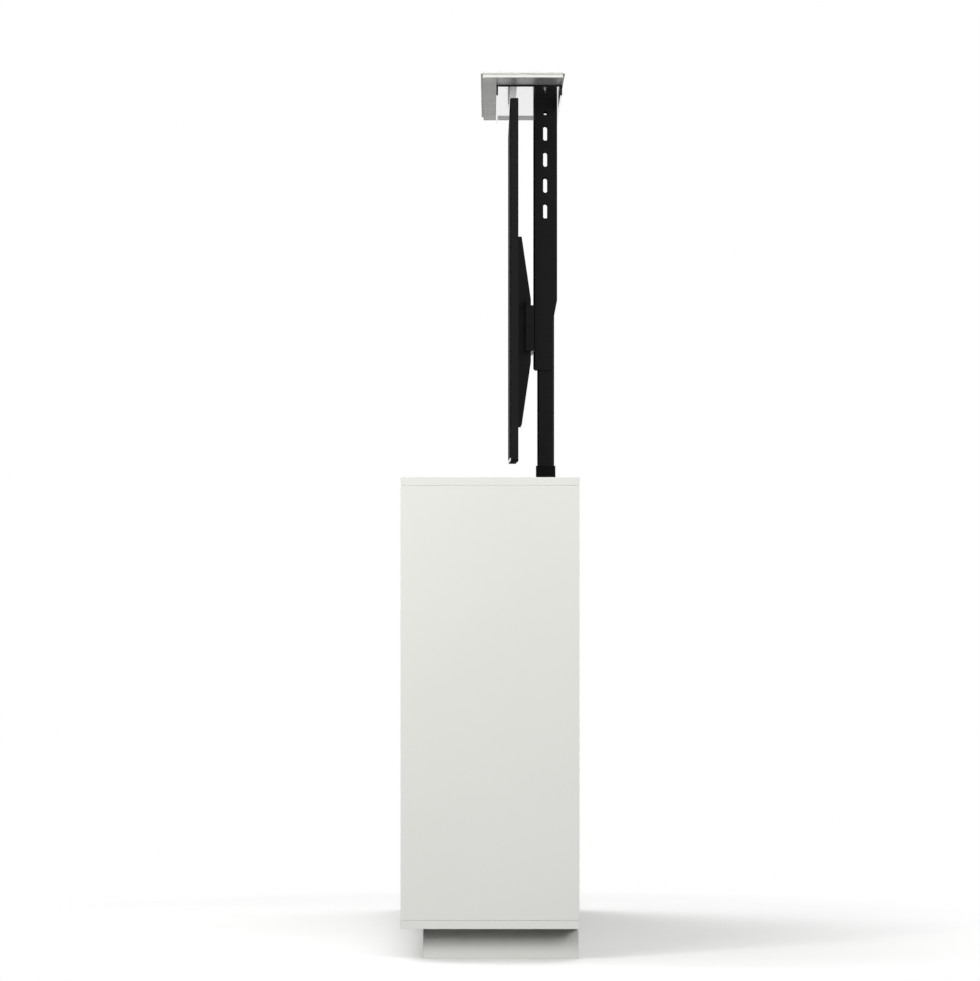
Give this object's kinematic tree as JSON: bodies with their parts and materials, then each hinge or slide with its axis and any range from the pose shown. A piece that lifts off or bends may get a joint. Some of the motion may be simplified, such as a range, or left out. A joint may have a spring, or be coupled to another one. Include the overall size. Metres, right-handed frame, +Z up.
{
  "type": "tv lift mechanism",
  "caption": "Motorised telescopic TV lift in a white cabinet on a recessed plinth: a black column raises a flat screen on mount arms together with the cabinet lid.",
  "frame": {"origin": "centre of the cabinet's outline on the floor, under the plinth", "axes": "+Z up, X along the cabinet, -Y the front that the screen faces, +Y the back"},
  "size_m": [1.6, 0.403, 2.0043],
  "materials": {
    "white_lacquer": "matt white lacquer on board",
    "pine_board": "planed softwood",
    "black_steel": "fine-textured black powder coat",
    "black_plastic": "moulded, matt",
    "belt_rubber": "toothed belt rubber",
    "white_plastic": "low-friction plastic",
    "zinc_steel": "zinc plated",
    "black_screws": "black oxide",
    "cast_aluminium": "die cast",
    "bright_steel": "ground steel",
    "nut_brass": "turned",
    "tv_plastic": "fine-grained black moulding",
    "tv_glass": "glossy black screen",
    "silver_trim": "brushed"
  },
  "bodies": {
    "cabinet": {"plinth_front": "white_lacquer", "plinth_rear": "white_lacquer", "plinth_ends": "white_lacquer", "bottom_panel": "white_lacquer", "side_panel_left": "white_lacquer", "side_panel_right": "white_lacquer", "top_panel": "white_lacquer", "front_panel": "white_lacquer", "back_panel": "white_lacquer", "cable_grommet": "black_plastic", "rear_board": "pine_board", "foot_plate": "black_steel", "foot_bolts": "zinc_steel", "drive_housing": "cast_aluminium", "drive_housing_cover": "cast_aluminium", "spindle_bearing": "bright_steel", "gearbox": "cast_aluminium", "gear_motor": "bright_steel", "drive_belt": "belt_rubber", "control_box": "black_plastic", "control_box_cover": "black_plastic", "outer_tube": "black_steel", "flange_bolts": "zinc_steel", "outer_collar": "black_plastic", "column_clamp": "black_steel", "clamp_screws": "zinc_steel", "back_panel_screws": "zinc_steel"},
    "middle_stage": {"middle_tube": "black_steel", "middle_collar": "black_plastic", "middle_glide": "white_plastic", "middle_foot_plug": "cast_aluminium", "drive_nut": "nut_brass", "thrust_bearing": "bright_steel"},
    "carriage": {"inner_tube": "black_steel", "inner_glide": "white_plastic", "inner_foot_plug": "cast_aluminium", "top_nut": "nut_brass", "tube_head_cap": "black_plastic", "channel_spacers": "black_steel", "lift_channel": "black_steel", "lid_bracket": "black_steel", "lid_core": "white_lacquer", "lid_cover": "white_lacquer", "lid_screws": "black_screws", "mount_rail": "black_steel", "rail_screws": "zinc_steel", "rail_end_caps": "black_plastic", "tv_arm_left": "black_steel", "tv_arm_right": "black_steel", "vesa_screws": "zinc_steel", "tv_housing": "tv_plastic", "tv_screen": "tv_glass", "tv_bottom_trim": "silver_trim", "tv_cover_screws": "black_screws", "tv_port_plate": "black_plastic"},
    "drive_spindle": {"drive_spindle": "bright_steel", "spindle_pulley": "cast_aluminium"},
    "hollow_spindle": {"hollow_spindle": "bright_steel"},
    "motor_pulley": {"motor_pulley": "cast_aluminium"}
  },
  "joints": [
    {"name": "mid_lift", "type": "slide", "parent": "cabinet", "child": "middle_stage", "axis": [0, 0, 1], "range_m": [-0.4048, 0]},
    {"name": "top_lift", "type": "slide", "parent": "middle_stage", "child": "carriage", "axis": [0, 0, 1], "range_m": [-0.506, 0]},
    {"name": "drive_spin", "type": "hinge", "parent": "cabinet", "child": "drive_spindle", "pos_m": [0, 0.133, 0.3], "axis": [0, 0, 1], "range_deg": [0, 9108]},
    {"name": "hollow_spin", "type": "hinge", "parent": "middle_stage", "child": "hollow_spindle", "pos_m": [0, 0.133, 0.8], "axis": [0, 0, 1], "range_deg": [0, 9108]},
    {"name": "motor_spin", "type": "hinge", "parent": "cabinet", "child": "motor_pulley", "pos_m": [0.14, 0.133, 0.108], "axis": [0, 0, 1], "range_deg": [0, 18216]}
  ],
  "couplings": [
    {"joint": "top_lift", "follows": "mid_lift", "ratio": 1.25},
    {"joint": "drive_spin", "follows": "mid_lift", "rad_per_m": -392.7},
    {"joint": "hollow_spin", "follows": "mid_lift", "rad_per_m": -392.7},
    {"joint": "motor_spin", "follows": "mid_lift", "rad_per_m": -785.4}
  ]
}
